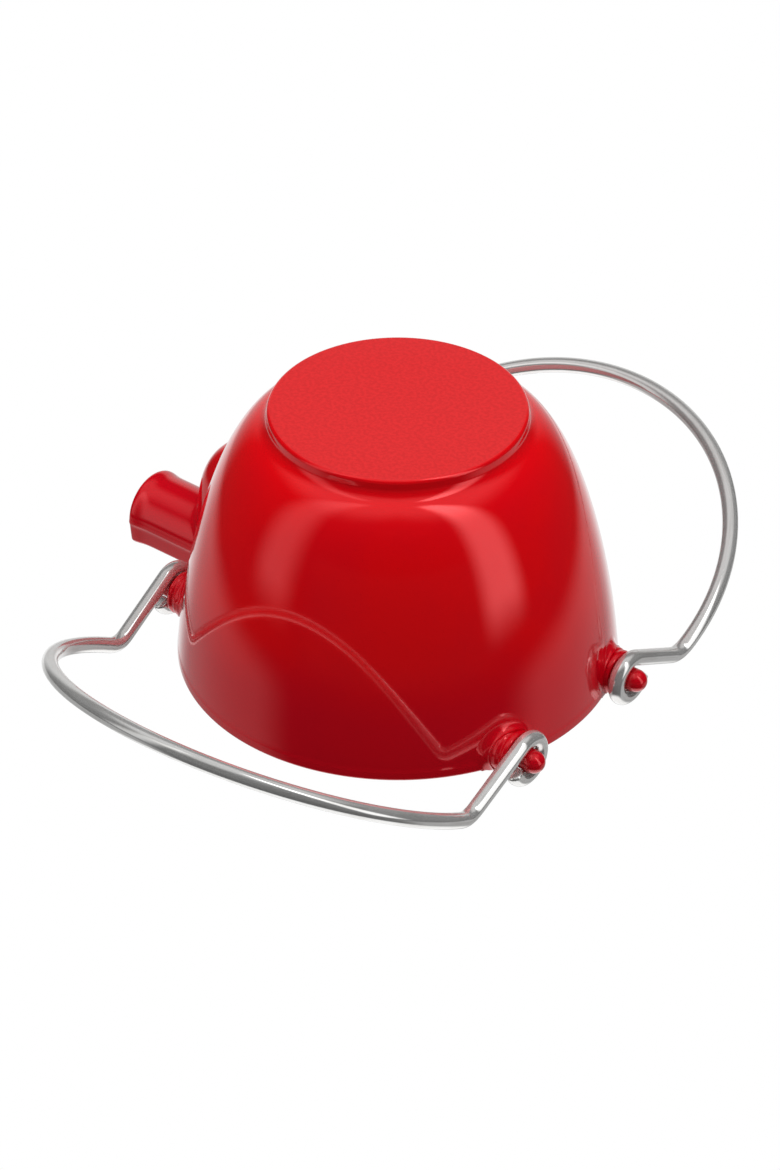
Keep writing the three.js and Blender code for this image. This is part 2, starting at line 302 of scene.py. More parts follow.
floor_paint = bpy.data.materials.new("floor_paint")
floor_paint.use_nodes = True
tree = floor_paint.node_tree
tree.nodes.clear()
behind = output_of(node(tree, "ShaderNodeNewGeometry"), "Backfacing")
card = node(tree, "ShaderNodeBsdfPrincipled", None, {
    "Base Color": (FLOOR_PALE, FLOOR_PALE, FLOOR_PALE, 1),
    "Roughness": 1.0,
    "Specular IOR Level": 0.0,
    "Emission Color": (1, 1, 1, 1),
    "Emission Strength": FLOOR_GLOW,
})
clear = node(tree, "ShaderNodeBsdfTransparent")
shown = node(tree, "ShaderNodeMixShader", None, {0: behind, 1: card, 2: clear})
node(tree, "ShaderNodeOutputMaterial", None, {"Surface": shown})
floor_mesh.materials.append(floor_paint)
print("floor:", 2 * FLOOR_HALF, "m square")

# %% [markdown]
# ## Outlines with rounded corners
#
# A maker draws a section with straight lines and arcs. `rounded` takes the corners of such a
# section, each with the radius of its fillet, and puts in the arcs. Every section below is
# drawn this way, so no edge is left knife-sharp and each one catches a thin line of light.

# %% Rounded outlines
ARC_STEPS = 8


def rounded(corners, closed=False, steps=ARC_STEPS):
    """Points along an outline whose corners (x, y, radius) are filled with arcs."""
    points = []
    count = len(corners)
    for i, (x, y, radius) in enumerate(corners):
        here = np.array((x, y))
        if radius == 0 or (not closed and i in (0, count - 1)):
            points.append(here)
            continue
        before = np.array(corners[i - 1][:2]) - here
        after = np.array(corners[(i + 1) % count][:2]) - here
        before = before / np.linalg.norm(before)
        after = after / np.linalg.norm(after)
        half = math.acos(np.clip(before @ after, -1, 1)) / 2
        centre = here + (before + after) / np.linalg.norm(before + after) * radius / math.sin(half)
        start = here + before * radius / math.tan(half) - centre
        end = here + after * radius / math.tan(half) - centre
        sweep = math.atan2(start[0] * end[1] - start[1] * end[0], start @ end)
        for k in range(steps + 1):
            angle = sweep * k / steps
            turned = (
                start[0] * math.cos(angle) - start[1] * math.sin(angle),
                start[0] * math.sin(angle) + start[1] * math.cos(angle),
            )
            points.append(centre + turned)
    return np.array(points)


print("a square with one rounded corner has", len(rounded([(0, 0, 0), (1, 0, 0.2), (1, 1, 0)])), "points")

# %% [markdown]
# ## Turning
#
# The pot, the lid, the knob, the washer and the screw are all turned: one outline swept
# round the axis. The rule is short, so Geometry Nodes do it. A grid has one row for each point
# of the outline and one column for each step round, and every grid point is sent to the
# outline's radius and height at its own angle. `Crowding` draws the columns together near
# the spout, where the pot has the finest shape.

# %% The turning tree
def new_tree(name, inputs):
    """A geometry tree with an input of each kind that is named."""
    tree = bpy.data.node_groups.new(name, "GeometryNodeTree")
    tree.interface.new_socket("Geometry", in_out="INPUT", socket_type="NodeSocketGeometry")
    for label, kind in inputs.items():
        tree.interface.new_socket(label, in_out="INPUT", socket_type=f"NodeSocket{kind}")
    tree.interface.new_socket("Geometry", in_out="OUTPUT", socket_type="NodeSocketGeometry")
    entry = tree.nodes.new("NodeGroupInput")
    return tree, {socket.name: Value(tree, socket) for socket in entry.outputs if socket.name}


def close_tree(tree, geometry, material, sharp):
    """Ends a tree: shading that breaks at sharp edges, real geometry, and its material."""
    edge = node(tree, "GeometryNodeInputMeshEdgeAngle")
    smooth = node(tree, "GeometryNodeSetShadeSmooth", {"domain": "FACE"}, {"Geometry": geometry})
    soft_edge = edge.math("LESS_THAN", sharp)
    values = {"Geometry": smooth, "Shade Smooth": soft_edge}
    broken = node(tree, "GeometryNodeSetShadeSmooth", {"domain": "EDGE"}, values)
    real = node(tree, "GeometryNodeRealizeInstances", None, {"Geometry": broken})
    coated = node(tree, "GeometryNodeSetMaterial", None, {"Geometry": real, "Material": material})
    node(tree, "NodeGroupOutput", None, {0: coated})


turning, given = new_tree("turning", {
    "Columns": "Int", "Crowding": "Float", "Sharp": "Float", "Material": "Material",
})
outline = given["Geometry"]
size = node(turning, "GeometryNodeAttributeDomainSize", {"component": "MESH"}, {"Geometry": outline})
rows = output_of(size, "Point Count")
grid = node(turning, "GeometryNodeMeshGrid", None,
            {"Vertices X": given["Columns"], "Vertices Y": rows, "Size X": 1.0, "Size Y": 1.0})
position = node(turning, "GeometryNodeInputPosition")
place = node(turning, "ShaderNodeSeparateXYZ", None, {0: position})
row = ((output_of(place, "Y") + 0.5) * (rows - 1)).math("ROUND")
section = node(turning, "GeometryNodeSampleIndex", {"data_type": "FLOAT_VECTOR", "domain": "POINT"},
               {"Geometry": outline, "Value": position, "Index": row})
section = node(turning, "ShaderNodeSeparateXYZ", None, {0: section})
share = output_of(place, "X") * math.tau
angle = share - given["Crowding"] * share.math("SINE")
radius = output_of(section, "X")
swept = node(turning, "ShaderNodeCombineXYZ", None,
             {0: radius * angle.math("COSINE"), 1: radius * angle.math("SINE"), 2: output_of(section, "Z")})
turned = node(turning, "GeometryNodeSetPosition", None, {"Geometry": grid, "Position": swept})
welded = node(turning, "GeometryNodeMergeByDistance", None, {"Geometry": turned, "Distance": 1e-6})
close_tree(turning, welded, given["Material"], given["Sharp"])
print("turning tree:", len(turning.nodes), "nodes")

# %% [markdown]
# `grown` runs a tree on a piece and keeps the result as a plain mesh. A modifier's inputs are
# set by each socket's identifier, because names needn't be unique.

# %% Run a tree
def grown(name, start, tree, **settings):
    """The plain mesh that a tree makes from a starting curve or mesh."""
    seed = bpy.data.objects.new(name + "_start", start)
    bpy.context.scene.collection.objects.link(seed)
    modifier = seed.modifiers.new("grow", "NODES")
    modifier.node_group = tree
    for socket in tree.interface.items_tree:
        if socket.in_out == "INPUT" and socket.name in settings:
            modifier[socket.identifier] = settings[socket.name]
    seed.update_tag()
    depsgraph = bpy.context.evaluated_depsgraph_get()
    mesh = bpy.data.meshes.new_from_object(seed.evaluated_get(depsgraph), depsgraph=depsgraph)
    bpy.data.objects.remove(seed)
    mesh.name = name
    return mesh


def turned_mesh(name, outline, material, columns=128, crowding=0.0, sharp=math.radians(40)):
    """An outline of (radius, height) in millimetres, turned about Z."""
    line = bpy.data.meshes.new(name + "_outline")
    points = [(radius * MM, 0, height * MM) for radius, height in outline]
    line.from_pydata(points, [(i, i + 1) for i in range(len(points) - 1)], [])
    settings = {"Columns": columns + 1, "Crowding": crowding, "Sharp": sharp, "Material": material}
    mesh = grown(name, line, turning, **settings)
    face_out(mesh)
    print(name, "turned:", len(mesh.polygons), "faces,", round(volume(mesh) / MM**3 / 1000, 1), "cm3")
    return mesh


def volume(mesh):
    work = bmesh.new()
    work.from_mesh(mesh)
    held = work.calc_volume(signed=True)
    work.free()
    return held


def face_out(mesh):
    """Turns every face outwards on a shell that came out inside out."""
    if volume(mesh) < 0:
        mesh.flip_normals()


def piece(name, mesh):
    made = bpy.data.objects.new(name, mesh)
    bpy.context.scene.collection.objects.link(made)
    return made


print("ready to turn")

# %% [markdown]
# ## Finishes
#
# Enamel is a thin sheet of glass over iron. It is never quite flat: it pools and pulls as it
# melts, so its reflections swim a little, and under the gloss sit fine specks and slow drifts
# of colour. Towards the rim the colour is darkened: that is painted shade, for the light that
# falls off there. The foot's face comes out of the kiln drier and chalky, with a fine grain.
# The specks, drifts and grain are noise at the right scale. Like the shade, they are read from
# the piece's own place in metres, so nothing slides when the piece moves.

# %% Helpers for finishes
def new_material(name):
    material = bpy.data.materials.new(name)
    material.use_nodes = True
    material.node_tree.nodes.clear()
    return material, material.node_tree


def place_on(tree):
    return output_of(node(tree, "ShaderNodeTexCoord"), "Object")


def noise(tree, place, grain, detail=2.0):
    """Noise around 0.5 with features about one grain across, in metres."""
    return node(tree, "ShaderNodeTexNoise", None, {"Vector": place, "Scale": 1 / grain, "Detail": detail})


def mixed(tree, share, low, high):
    """A colour that goes from low to high with the share."""
    return node(tree, "ShaderNodeMix", {"data_type": "RGBA"}, {0: share, 6: low, 7: high}, output=2)


def bumped(tree, height, depth):
    """A normal for a height field of 0 to 1 that is so deep, in metres."""
    return node(tree, "ShaderNodeBump", None, {"Strength": 1.0, "Distance": depth, "Height": height})


print("finish helpers: ready")

# %% The enamel
FOOT_GRAIN_TOP = 0.35 * MM
RED_DEEP = (0.73, 0.001, 0.006, 1)
RED_BRIGHT = (0.80, 0.001, 0.004, 1)
RED_DRY = (0.51, 0.013, 0.015, 1)
RED_CHALKY = (0.59, 0.017, 0.019, 1)
RED_SPECK = (0.50, 0.001, 0.003, 1)
# The rim's colour and the next three numbers paint shade: the enamel's colour darkens towards the rim,
# where less light falls.
RED_RIM_SHADE = (0.56, 0.001, 0.012, 1)
RIM_SHADE_SHARE = 0.65
RIM_SHADE_FROM = 55 * MM
RIM_SHADE_FULL = 85 * MM
DRIFT_GRAIN = 34 * MM
SPECK_GRAIN = 0.55 * MM
CHALK_GRAIN = 1.3 * MM
SWIM_GRAIN = 24 * MM
PEEL_GRAIN = 1.7 * MM
FINE_GRAIN = 0.28 * MM
RELIEF = 0.20 * MM

enamel, tree = new_material("red_enamel")
place = place_on(tree)
height = output_of(node(tree, "ShaderNodeSeparateXYZ", None, {0: place}), "Z")
dry = 1 - height.step(0.0, FOOT_GRAIN_TOP)
drift = noise(tree, place, DRIFT_GRAIN, 3.0)
speck = noise(tree, place, SPECK_GRAIN, 1.0).step(0.66, 0.76)
chalky = noise(tree, place, CHALK_GRAIN, 4.0).step(0.35, 0.65)
swim = noise(tree, place, SWIM_GRAIN, 1.0)
peel = noise(tree, place, PEEL_GRAIN, 2.0)
fine = noise(tree, place, FINE_GRAIN, 2.0)
glaze = mixed(tree, drift.step(0.3, 0.7), RED_DEEP, RED_BRIGHT)
# Painted shade: the colour is darkened with height towards the rim, where the lamp's light falls off.
glaze = mixed(tree, RIM_SHADE_SHARE * height.step(RIM_SHADE_FROM, RIM_SHADE_FULL), glaze, RED_RIM_SHADE)
glaze = mixed(tree, speck * 0.35, glaze, RED_SPECK)
colour = mixed(tree, dry, glaze, mixed(tree, chalky, RED_DRY, RED_CHALKY))
roughness = 0.07 + 0.04 * drift + 0.33 * dry
relief = swim + 0.045 * peel + (0.003 + 0.12 * dry) * fine
shader = node(tree, "ShaderNodeBsdfPrincipled", None, {
    "Base Color": colour,
    "Metallic": 0.22 * (1 - dry),
    "Roughness": roughness,
    "IOR": 1.3,
    "Coat Weight": 0.8 * (1 - dry),
    "Coat Roughness": 0.02,
    "Normal": bumped(tree, relief, RELIEF),
})
node(tree, "ShaderNodeOutputMaterial", None, {"Surface": shader})
print("enamel:", len(tree.nodes), "nodes")

# %% [markdown]
# The handles are drawn wire, bent and then polished. Drawing leaves hair lines along the
# length, and polishing wears them down in patches. The wire's tree below stores an attribute
# called `drawn`: two numbers go round the wire and one, much squeezed, goes along it. Noise
# read from it makes lines that follow every bend.

# %% The polished wire
WIRE_BRIGHT = (0.85, 0.845, 0.835, 1)
WIRE_DULL = (0.72, 0.71, 0.69, 1)
HAIR_GRAIN = 0.9 * MM
WORN_GRAIN = 9 * MM
HAIR_RELIEF = 0.0015 * MM

polished_wire, tree = new_material("polished_wire")
drawn = output_of(node(tree, "ShaderNodeAttribute", {"attribute_name": "drawn"}), "Vector")
hair = noise(tree, drawn, HAIR_GRAIN, 3.0)
worn = noise(tree, place_on(tree), WORN_GRAIN, 2.0).step(0.42, 0.7)
shader = node(tree, "ShaderNodeBsdfPrincipled", None, {
    "Base Color": mixed(tree, hair.step(0.35, 0.7) * (1 - 0.7 * worn), WIRE_BRIGHT, WIRE_DULL),
    "Metallic": 0.74,
    "Roughness": 0.05 + 0.05 * hair + 0.03 * worn,
    "Normal": bumped(tree, hair, HAIR_RELIEF),
})
node(tree, "ShaderNodeOutputMaterial", None, {"Surface": shader})
print("wire:", len(tree.nodes), "nodes")

# %% [markdown]
# The knob, washer and screw are turned from bar. The tool leaves fine rings round the axis,
# close together where it was fed slowly. Rings are a sine of the radius and the height, and
# a little noise in the feed keeps them from looking machined by a formula.

# %% The turned steel
RING_PITCH = 0.32 * MM
STEEL_BRIGHT = (0.68, 0.67, 0.65, 1)
STEEL_DULL = (0.50, 0.48, 0.46, 1)
FEED_GRAIN = 3 * MM
FEED_DRIFT = 0.4 * MM
TOUCH_GRAIN = 6 * MM
RING_RELIEF = 0.004 * MM

turned_steel, tree = new_material("turned_steel")
place = place_on(tree)
axes = node(tree, "ShaderNodeSeparateXYZ", None, {0: place})
across = output_of(axes, "X")
away = output_of(axes, "Y")
radius = (across * across + away * away).math("SQRT")
feed = noise(tree, place, FEED_GRAIN)
rings = ((radius * 0.8 + output_of(axes, "Z") + feed * FEED_DRIFT) * (math.tau / RING_PITCH)).math("SINE")
touch = noise(tree, place, TOUCH_GRAIN, 3.0)
shader = node(tree, "ShaderNodeBsdfPrincipled", None, {
    "Base Color": mixed(tree, 0.25 + 0.25 * rings + 0.3 * (touch - 0.5), STEEL_BRIGHT, STEEL_DULL),
    "Metallic": 1.0,
    "Roughness": 0.20 + 0.04 * rings + 0.14 * (touch - 0.4),
    "Normal": bumped(tree, 0.5 + 0.5 * rings, RING_RELIEF),
})
node(tree, "ShaderNodeOutputMaterial", None, {"Surface": shader})
print("steel:", len(tree.nodes), "nodes")

# %% [markdown]
# ## The pot
#
# The pot's section is one rule. From the foot the shoulder leaves level, then turns up into a
# wall that is nearly upright at the rim. The inside is the same curve moved in by the wall.
# The pot could be modelled from a few rings and subdivided, but then its curve would only be
# close. Here the outline is worked out from the rule and turned, so it is exact.

# %% The belly's rule
BODY_HEIGHT = 104.0
RIM_RADIUS = 80.0
FOOT_RADIUS = 46.2
FOOT_ROUND = 1.7
FOOT_FILLET = 3.0
BELLY_START_RADIUS = 44.6
BELLY_START_Z = 6.2
BELLY_POWER = 1.36


def belly_radius(z):
    """The pot's outer radius at a height, in millimetres."""
    rise = np.clip((z - BELLY_START_Z) / (BODY_HEIGHT - BELLY_START_Z), 0, 1)
    return BELLY_START_RADIUS + (RIM_RADIUS - BELLY_START_RADIUS) * np.sqrt(1 - (1 - rise) ** BELLY_POWER)


def belly_height(radius):
    """The height at which the pot has this outer radius."""
    spread = (radius - BELLY_START_RADIUS) / (RIM_RADIUS - BELLY_START_RADIUS)
    return BELLY_START_Z + (BODY_HEIGHT - BELLY_START_Z) * (1 - (1 - spread**2) ** (1 / BELLY_POWER))


def plain(radii, heights):
    """Outline corners without a fillet."""
    return [(r, z, 0) for r, z in zip(radii, heights)]


print("belly radius at half height:", round(float(belly_radius(BODY_HEIGHT / 2)), 1), "mm")

# %% [markdown]
# The outline starts at the middle of the foot's face. A crisp edge and a hollow fillet set the
# foot off from the shoulder. Near the rim, a narrow band stands a hair proud. The spout's
# shelf needs a few close rows just above its level. The outline then rounds the rim, drops
# to the lid's seat, and goes down the inside to the middle of the floor.

# %% The pot's outline
SHELF_Z = 101.7
SHELF_ROUND = 1.4
SHELF_ROWS = 4
SHELF_STEP = 0.03
BAND_Z = 100.1
BAND_PROUD = 0.06
WALL = 3.8
FLOOR_LIFT = 2.5
FLOOR_Z = BELLY_START_Z + FLOOR_LIFT
SEAT_RADIUS = 75.6
SEAT_Z = 100.0
THROAT_RADIUS = 71.5
THROAT_Z = 97.0
WALL_TOP_Z = 91.0

turn_up = np.radians(np.linspace(0, 90, 9))
fillet_radii = FOOT_RADIUS + FOOT_FILLET * (1 - np.cos(turn_up))
fillet_heights = belly_height(fillet_radii) - FOOT_FILLET * (1 - np.sin(turn_up))
belly_share = np.linspace(0, 1, 96)[1:]
first = belly_height(FOOT_RADIUS + FOOT_FILLET)
belly_heights = first + (BAND_Z - first) * belly_share**2
band_heights = np.array([BAND_Z + 0.25, BAND_Z + 0.5])
round_heights = np.linspace(SHELF_Z - SHELF_ROUND + 0.6, SHELF_Z, 6)
shelf_heights = SHELF_Z + SHELF_STEP * np.arange(1, SHELF_ROWS + 1)
above = np.concatenate([band_heights, round_heights, shelf_heights])
inner_share = np.linspace(1, 0, 34)
inner_heights = BELLY_START_Z + (WALL_TOP_Z - FLOOR_LIFT - BELLY_START_Z) * inner_share**2

pot_outline = rounded(
    [(0, 0, 0), (15, 0, 0), (30, 0, 0), (FOOT_RADIUS, 0, FOOT_ROUND)]
    + plain(fillet_radii, fillet_heights)
    + plain(belly_radius(belly_heights), belly_heights)
    + plain(belly_radius(above) + BAND_PROUD, above)
    + [(RIM_RADIUS + BAND_PROUD, BODY_HEIGHT, 1.1), (SEAT_RADIUS, BODY_HEIGHT, 0.8)]
    + [(SEAT_RADIUS, SEAT_Z, 0.4), (THROAT_RADIUS, SEAT_Z, 0.6), (THROAT_RADIUS, THROAT_Z, 1.2)]
    + plain(belly_radius(inner_heights) - WALL, inner_heights + FLOOR_LIFT)
    + [(27, FLOOR_Z, 0), (12, FLOOR_Z, 0), (0, FLOOR_Z, 0)]
)
pot = turned_mesh("pot", pot_outline, enamel, columns=264, crowding=0.55)

# %% [markdown]
# ## The housing
#
# The spout springs from an egg pressed out of the wall. On the real casting the two forms run
# into each other with no line between them. A boolean would leave a hard seam. Instead each
# point of the pot's wall is pushed out along the spout's axis to a soft maximum of the two
# surfaces, which is a fillet wherever they meet. `wall_x` is that surface as one function, so
# that the spout and the lugs can be laid on it as well.

# %% The wall as a function
EGG_CENTRE_X = 62.0
EGG_CENTRE_Z = 80.0
EGG_RADII = np.array((27.5, 17.0, 37.0))
EGG_SQUARENESS = 2.5
EGG_FILLET = 7.0


def arc_drop(depth, radius):
    """How far a rounded edge has fallen back, at a depth into its rounding."""
    depth = np.clip(depth, 0, radius)
    return radius - np.sqrt(radius**2 - depth**2)


def egg_x(y, z, inset=0.0):
    """How far out along X the egg reaches. Past its sides the value falls away into the pot."""
    radii = EGG_RADII - inset
    aside = np.abs(y / radii[1]) ** EGG_SQUARENESS + np.abs((z - EGG_CENTRE_Z) / radii[2]) ** EGG_SQUARENESS
    return EGG_CENTRE_X + radii[0] * np.sign(1 - aside) * np.abs(1 - aside) ** (1 / EGG_SQUARENESS)


def swollen(x, y, z):
    """The wall's x once the egg has been pushed out of it, with the shelf's edge rounded."""
    egg = egg_x(y, z)
    near = np.clip(EGG_FILLET - np.abs(x - egg), 0, None) / EGG_FILLET
    out = np.maximum(x, egg) + near**2 * EGG_FILLET / 4 - x
    out = np.maximum(out - arc_drop(z - (SHELF_Z - SHELF_ROUND), SHELF_ROUND), 0)
    shelf = np.clip(1 - (z - SHELF_Z) / (SHELF_ROWS * SHELF_STEP), 0, 1)
    return x + out * shelf


def wall_x(y, z):
    """The pot's outer surface on the +X side, in millimetres."""
    z = np.minimum(z, SHELF_Z)
    flat = np.sqrt(np.maximum(belly_radius(z) ** 2 - y**2, 0))
    return swollen(flat, y, z)


points = np.empty(len(pot.vertices) * 3)
pot.vertices.foreach_get("co", points)
points = points.reshape(-1, 3) / MM
x, y, z = points.T
skin = (x > 0) & (z > 15) & (np.hypot(x, y) > belly_radius(z) - 1) & (z < SHELF_Z + SHELF_ROWS * SHELF_STEP)
points[skin, 0] = swollen(x, y, z)[skin]
pot.vertices.foreach_set("co", (points * MM).ravel())
pot.update()
print("housing: moved", int(skin.sum()), "points, out to", round(float(points[:, 0].max()), 1), "mm")

# %% [markdown]
# ## Rings joined into a shell
#
# The spout and the lugs are each a closed shell made of rings, from the tip back to a root
# that is sunk in the wall. A flare lies on the wall round the root and rises in a quarter
# circle to the shell's side, so the two surfaces meet level and no seam shows. The rings
# differ in shape from one to the next, so plain mesh code suits them better than a tree.

# %% Rings to a shell
def ring_shell(name, rings, material, looped=False):
    """A closed shell through rings of (x, y, z) in millimetres. Ends are filled, or joined."""
    rings = np.array(rings)
    count, around = rings.shape[:2]
    faces = []
    for i in range(count if looped else count - 1):
        here = i * around
        there = (i + 1) % count * around
        for j in range(around):
            k = (j + 1) % around
            faces.append((here + j, here + k, there + k, there + j))
    points = [tuple(point) for point in rings.reshape(-1, 3) * MM]
    if not looped:
        for ring in (0, count - 1):
            middle = len(points)
            points.append(tuple(rings[ring].mean(axis=0) * MM))
            first = ring * around
            way = 1 if ring else -1
            for j in range(around):
                faces.append((first + j, first + (j + 1) % around, middle)[::way])
    mesh = bpy.data.meshes.new(name)
    mesh.from_pydata(points, [], faces)
    mesh.validate()
    mesh.materials.append(material)
    mesh.shade_smooth()
    mesh.set_sharp_from_angle(angle=math.radians(40))
    face_out(mesh)
    print(name, "shell:", len(mesh.polygons), "faces")
    return mesh


print("quarter circle in", len(turn_up), "steps")

# %% [markdown]
# ## The spout
#
# The spout is a stub: half round below, upright sides above, and flat on top in line with the
# shelf. A faint ridge runs along each side where the two halves of the mould met. Its bore
# follows the same section 3 mm in. The lip is rounded, and spreads a little past the stub.

# %% The spout's section
SPOUT_AXIS_Z = 92.7
SPOUT_RADIUS = 13.5
SPOUT_TOP = 9.1
SPOUT_DRAFT = 1.0
SPOUT_BORE = 3.0
SPOUT_TIP = 118.0
SPOUT_ROOT = 82.5
SPOUT_FLARE = 4.0
FLARE_CLEAR = 0.02
FLARE_SINK = 2.5
OUTSIDE_RINGS = 24
CLOSER_AT_LIP = 1.5
RIDGE = 0.28
RIDGE_WIDTH = 0.55
RIDGE_UP = 0.3
LIP_SPREAD = 0.6
LIP_REACH = 3.5
LIP = (SPOUT_BORE + LIP_SPREAD) / 2

lower_half = np.radians(np.linspace(180, 360, 45))


def spout_section(inset):
    """The section's points (y, z) and outward normals, drawn in by the inset."""
    radius = SPOUT_RADIUS - inset
    top = SPOUT_TOP - inset
    corner = max(1.7 - 0.5 * inset, 0.4)
    side = radius - SPOUT_DRAFT
    flat_rows = [(side * share, top, 0) for share in (0.6, 0.2, -0.2, -0.6)]
    side_rows = [(radius - SPOUT_DRAFT * up, top * up, 0) for up in (0.06, 0.12, 0.3, 0.5)]
    outline = rounded(
        plain(radius * np.cos(lower_half), radius * np.sin(lower_half))
        + side_rows + [(side, top, corner)] + flat_rows + [(-side, top, corner)]
        + [(-y, z, 0) for y, z, _ in side_rows[::-1]],
        closed=True,
    )
    along = np.roll(outline, -1, axis=0) - np.roll(outline, 1, axis=0)
    normal = np.stack((along[:, 1], -along[:, 0]), axis=1)
    return outline, normal / np.linalg.norm(normal, axis=1)[:, None]


def ridge_height(z, ridge):
    """How far the ridge stands out of the side at a height over the spout's axis."""
    return ridge * np.exp(-((z - RIDGE_UP) / RIDGE_WIDTH) ** 2)


def spout_ring(x, inset, ridge=0.0):
    """One ring of the spout at x, drawn in by the inset."""
    outline, normal = spout_section(inset)
    y, z = (outline + normal * ridge_height(outline[:, 1], ridge)[:, None]).T
    return np.stack((np.full_like(y, x), y, z + SPOUT_AXIS_Z), axis=1)


section, normal = spout_section(0)
print("section:", len(section), "points,", round(float(np.ptp(section[:, 0])), 1), "mm wide")

# %% [markdown]
# The shell's rings go out through the bore, round the lip, back along the outside and down
# the flare onto the housing, and then dive into the wall to meet the bore again.

# %% The spout's shell
bore = [spout_ring(x, SPOUT_BORE) for x in np.linspace(SPOUT_ROOT, SPOUT_TIP - LIP, 7)]
lip_turn = np.radians(np.linspace(0, 180, 15))[1:-1]
lip = []
for a in lip_turn:
    inset = LIP - LIP_SPREAD + LIP * math.cos(a)
    lip.append(spout_ring(SPOUT_TIP - LIP + LIP * math.sin(a), inset, RIDGE * (1 - math.cos(a)) / 2))

spread = SPOUT_FLARE * (1 - np.clip(normal[:, 1] / 0.9, 0, 1) ** 0.5)
flare = []
for a in np.radians(np.linspace(0, 90, 15)):
    foot = section + normal * (spread * (1 - math.cos(a)))[:, None]
    foot[:, 1] = np.minimum(foot[:, 1], SPOUT_TOP)
    on_wall = wall_x(foot[:, 0], foot[:, 1] + SPOUT_AXIS_Z)
    out = on_wall + spread * (1 - math.sin(a)) + FLARE_CLEAR
    ridge = ridge_height(foot[:, 1], RIDGE * (1 - math.sin(a)))
    y, z = (foot + normal * ridge[:, None]).T
    flare.append(np.stack((out, y, z + SPOUT_AXIS_Z), axis=1))

outside = []
for share in np.linspace(0, 1, OUTSIDE_RINGS + 1)[:-1] ** CLOSER_AT_LIP:
    back = (SPOUT_TIP - LIP - flare[0][:, 0].mean()) * share
    flared = LIP_SPREAD * math.exp(-((back / LIP_REACH) ** 2))
    straight = spout_ring(SPOUT_TIP - LIP, -flared, RIDGE)
    straight[:, 0] += (flare[0][:, 0] - straight[:, 0]) * share
    outside.append(straight)
dive = flare[-1] - np.array((FLARE_SINK, 0, 0))
spout = ring_shell("spout", bore + lip + outside + flare + [dive], enamel, looped=True)

# %% [markdown]
# ## The lugs
#
# Four lugs carry the handles. Each is a round boss with a collar and a round-ended peg. The wall
# curves away under it, so the boss stands further out on one side than on the other. The
# rings take their height from the wall at their own angle, and the flare is kept smaller
# where there is less boss to carry it.

# %% The lugs' shells
HINGE_Y = 30.2
HINGE_Z = 97.8
LUG_RADIUS = 8.2
LUG_FACE = 78.0
LUG_EDGE = 0.9
LUG_DEPTH = 9.0
LUG_SINK = 2.0
PEG_RADIUS = 4.2
PEG_ROUND = 84.9
LUG_TOP = BODY_HEIGHT - 0.15
LUG_FLARE = 2.6

around = np.radians(np.arange(0, 360, 5))
peg_turn = np.radians(range(80, -1, -10))
peg_round = plain(PEG_RADIUS * np.cos(peg_turn), PEG_ROUND + PEG_RADIUS * np.sin(peg_turn))
peg_and_face = rounded(
    [(0, PEG_ROUND + PEG_RADIUS, 0)]
    + peg_round
    + [(PEG_RADIUS, LUG_FACE + 3, 0), (PEG_RADIUS, LUG_FACE, 0.7)]
    + [(LUG_RADIUS, LUG_FACE, LUG_EDGE), (LUG_RADIUS, LUG_FACE - 2, 0)]
)[1:-1]


def lug_ring(radius, x_of_wall):
    """A ring about the hinge whose x is worked out from the wall below it."""
    y = HINGE_Y + radius * np.cos(around)
    z = np.minimum(HINGE_Z + radius * np.sin(around), LUG_TOP)
    return np.stack((x_of_wall(wall_x(y, z)), y, z), axis=1)


def barrel_radius(depth):
    """The boss's radius at a depth behind its face: a collar, a groove, then a slow flare."""
    groove = 0.30 * math.exp(-(((depth - 2.7) / 0.45) ** 2))
    collar = 0.16 * math.exp(-(((depth - 1.5) / 0.5) ** 2))
    collar += 0.16 * math.exp(-(((depth - 4.0) / 0.6) ** 2))
    return LUG_RADIUS + collar - groove + 0.11 * max(depth - 3, 0)


def flare_room(wall):
    return np.clip(0.6 * (LUG_FACE - LUG_EDGE - wall), 0.05, LUG_FLARE)


lug_rings = [lug_ring(radius, lambda wall, x=x: np.full_like(wall, x)) for radius, x in peg_and_face]
for depth in np.linspace(LUG_EDGE, LUG_DEPTH, 30)[1:]:
    stop = LUG_FACE - depth
    lug_rings.append(lug_ring(barrel_radius(depth), lambda wall: np.maximum(stop, wall + flare_room(wall))))
root_radius = barrel_radius(LUG_DEPTH - 1)
for a in turn_up[1:]:
    radius = root_radius + LUG_FLARE * (1 - math.cos(a))
    lift = 1 - math.sin(a)
    lug_rings.append(lug_ring(radius, lambda wall: wall + flare_room(wall) * lift))
lug_rings.append(lug_ring(root_radius + LUG_FLARE, lambda wall: wall - LUG_SINK))
lug_rings.append(lug_ring(1.0, lambda wall: wall - LUG_SINK - 1))

lugs = []
for side_x in (-1, 1):
    for side_y in (-1, 1):
        placed = np.array(lug_rings) * (side_x, side_y, 1)
        lugs.append(ring_shell("lug", placed, enamel))

# %% [markdown]
# The shells are joined with the pot into one piece, as the casting is one. The wall behind the
# spout is opened first: the egg's hollow inside and then the hole that the bore runs through.
# `Boolean` does both cuts, since they leave edges that should be crisp.

# %% Join the casting
def joined(name, meshes, material):
    """One mesh from several, all in one material."""
    work = bmesh.new()
    for mesh in meshes:
        work.from_mesh(mesh)
    for face in work.faces:
        face.material_index = 0
    made = bpy.data.meshes.new(name)
    work.to_mesh(made)
    work.free()
    made.materials.append(material)
    return made


def cut(mesh, tool):
    """The mesh less another closed mesh."""
    held = piece("held", mesh)
    blade = piece("blade", tool)
    modifier = held.modifiers.new("cut", "BOOLEAN")
    modifier.operation = "DIFFERENCE"
    modifier.solver = "MANIFOLD"
    modifier.object = blade
    depsgraph = bpy.context.evaluated_depsgraph_get()
    made = bpy.data.meshes.new_from_object(held.evaluated_get(depsgraph), depsgraph=depsgraph)
    bpy.data.objects.remove(held)
    bpy.data.objects.remove(blade)
    return made


